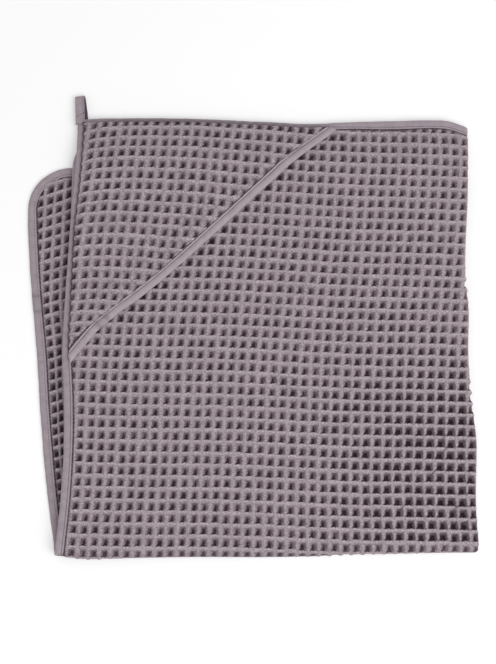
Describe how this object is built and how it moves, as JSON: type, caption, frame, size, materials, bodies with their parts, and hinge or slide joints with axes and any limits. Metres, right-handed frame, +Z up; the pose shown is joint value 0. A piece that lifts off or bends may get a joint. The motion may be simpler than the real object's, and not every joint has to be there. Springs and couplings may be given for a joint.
{
  "type": "hooded towel",
  "caption": "Square waffle-weave baby towel with a corner hood, a bound edge and a hanging loop, folded in quarters and lying flat.",
  "frame": {"origin": "middle of the folded towel's footprint, on the surface it lies on", "axes": "+Z up out of the surface, the hood corner towards -X +Y, the right fold along +X and the bottom fold along -Y"},
  "size_m": [0.4327, 0.4491, 0.0193],
  "materials": {
    "waffle_cotton": "deep honeycomb waffle-weave cotton in mauve-grey, matt and slightly fuzzy",
    "tape_cotton": "plain-weave cotton binding tape in mauve-grey, matt, stitched along its inner edge"
  },
  "bodies": {
    "root": {"towel_cloth": "waffle_cotton", "hidden_layers": "waffle_cotton", "edge_binding": "tape_cotton", "hidden_binding": "tape_cotton", "hood": "waffle_cotton", "hood_binding": "tape_cotton", "hanging_loop": "tape_cotton"}
  },
  "joints": []
}
